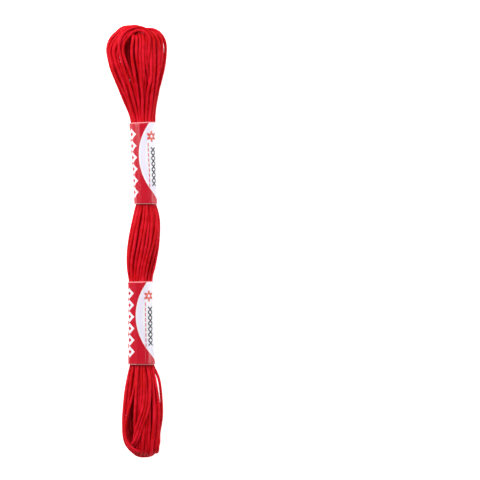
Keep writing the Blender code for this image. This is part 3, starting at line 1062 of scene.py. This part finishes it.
# ---------------------------------------------------------------------------------------------
# Operators
# ---------------------------------------------------------------------------------------------

SENSOR_WIDTH = 36.0
# In metres: how far the table reaches each way, and how wide each softbox is.
TABLE_REACH, SOFTBOX_SIZE = 1.5, 0.45
# In mm: the step between the points that the mesh follows, then a coarser step.
ROUTE_STEP, CORD_STEP = 0.5, 2.0


def placed(name, data, *materials):
    """An object at the origin, linked to the scene, with its materials."""
    made = bpy.data.objects.new(name, data)
    bpy.context.scene.collection.objects.link(made)
    for material in materials:
        data.materials.append(material)
    return made


class SKEIN_OT_set_stage(bpy.types.Operator):
    """Puts the skein on a white table under soft lights, with the camera straight above"""

    bl_idname = "skein.set_stage"
    bl_label = "Set the stage"

    def execute(self, context):
        stage = context.scene.skein_stage
        data = bpy.data.cameras.new("camera")
        data.lens, data.sensor_width = stage.lens, SENSOR_WIDTH
        camera = placed("camera", data)
        camera.location = (*stage.view_centre, stage.view_width * stage.lens / SENSOR_WIDTH)
        context.scene.camera = camera

        shape = bmesh.new()
        bmesh.ops.create_grid(shape, x_segments=1, y_segments=1, size=TABLE_REACH)
        top = bpy.data.meshes.new("table_top")
        shape.to_mesh(top)
        shape.free()
        placed("table_top", top, matt_laminate(stage))

        room = bpy.data.worlds.new("room")
        room.use_nodes = True
        room.node_tree.nodes["Background"].inputs["Color"].default_value = (1.0, 1.0, 1.0, 1.0)
        room.node_tree.nodes["Background"].inputs["Strength"].default_value = stage.sky
        context.scene.world = room
        context.scene.view_settings.view_transform = "Standard"

        softboxes = {
            "softbox_left": ((-0.5, 0.28, 0.5), stage.key_power),
            "softbox_right": ((0.78, 0.1, 0.3), stage.fill_power),
            "softbox_head": ((0.0, 0.55, 0.45), stage.head_power),
            "softbox_foot": ((0.0, -0.7, 0.5), stage.foot_power),
        }
        for name, (place, power) in softboxes.items():
            light = bpy.data.lights.new(name, "AREA")
            light.shape, light.size, light.energy = "SQUARE", SOFTBOX_SIZE, power
            box = placed(name, light)
            box.location = place
            box.rotation_euler = (-Vector(place)).to_track_quat("-Z", "Y").to_euler()
        return {"FINISHED"}


class SKEIN_OT_wind_floss(bpy.types.Operator):
    """Winds the floss: one thread through both necks and round both end loops"""

    bl_idname = "skein.wind_floss"
    bl_label = "Wind the floss"

    def execute(self, context):
        floss, bands = context.scene.skein_floss, context.scene.skein_bands
        thread = floss.thread_diameter / MM
        paper = bands.paper_thickness / MM + SLACK
        winding = Winding(thread / 2, paper, math.degrees(floss.neck_turn))
        route = settled(winding.route(), winding.room, thread, floss.least_bend / MM)
        route = resampled(smoothed(route, LAST_SMOOTHING), ROUTE_STEP)
        mesh = thread_mesh(floss, route, winding.room)
        piece = placed("floss", mesh, mercerised_cotton(floss))
        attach(piece, BODY)
        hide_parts("skein")
        return {"FINISHED"}


class SKEIN_OT_wrap_bands(bpy.types.Operator):
    """Wraps a printed paper strip round each neck and glues its ends underneath"""

    bl_idname = "skein.wrap_bands"
    bl_label = "Wrap the bands"

    def execute(self, context):
        bands = context.scene.skein_bands
        for node in BAND_NODES:
            mesh = paper_mesh(node, bands.paper_thickness / MM)
            piece = placed(node + "_paper", mesh, coated_label_paper(bands, node), paper_core(bands))
            wall = piece.modifiers.new("thickness", "SOLIDIFY")
            wall.thickness, wall.offset, wall.material_offset_rim = bands.paper_thickness, 0.0, 1
            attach(piece, BODY)
            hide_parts(node)
        return {"FINISHED"}


class SKEIN_PT_sidebar(bpy.types.Panel):
    bl_idname = "SKEIN_PT_sidebar"
    bl_label = "Floss skein"
    bl_space_type = "VIEW_3D"
    bl_region_type = "UI"
    bl_category = "Floss"

    def draw(self, context):
        scene = context.scene
        listed = (
            (scene.skein_stage, SKEIN_OT_set_stage),
            (scene.skein_floss, SKEIN_OT_wind_floss),
            (scene.skein_bands, SKEIN_OT_wrap_bands),
        )
        for settings, operator in listed:
            box = self.layout.box()
            for name in settings.bl_rna.properties.keys():
                if name not in ("rna_type", "name"):
                    box.prop(settings, name)
            box.operator(operator.bl_idname)


CLASSES = (FlossSettings, BandSettings, StageSettings, SKEIN_OT_set_stage, SKEIN_OT_wind_floss,
           SKEIN_OT_wrap_bands, SKEIN_PT_sidebar)


def register():
    for cls in CLASSES:
        bpy.utils.register_class(cls)
    bpy.types.Scene.skein_floss = PointerProperty(type=FlossSettings)
    bpy.types.Scene.skein_bands = PointerProperty(type=BandSettings)
    bpy.types.Scene.skein_stage = PointerProperty(type=StageSettings)


def unregister():
    del bpy.types.Scene.skein_stage, bpy.types.Scene.skein_bands, bpy.types.Scene.skein_floss
    for cls in reversed(CLASSES):
        bpy.utils.unregister_class(cls)


def main():
    register()
    bpy.ops.skein.set_stage()
    bpy.ops.skein.wind_floss()
    bpy.ops.skein.wrap_bands()


if __name__ == "__main__":
    main()
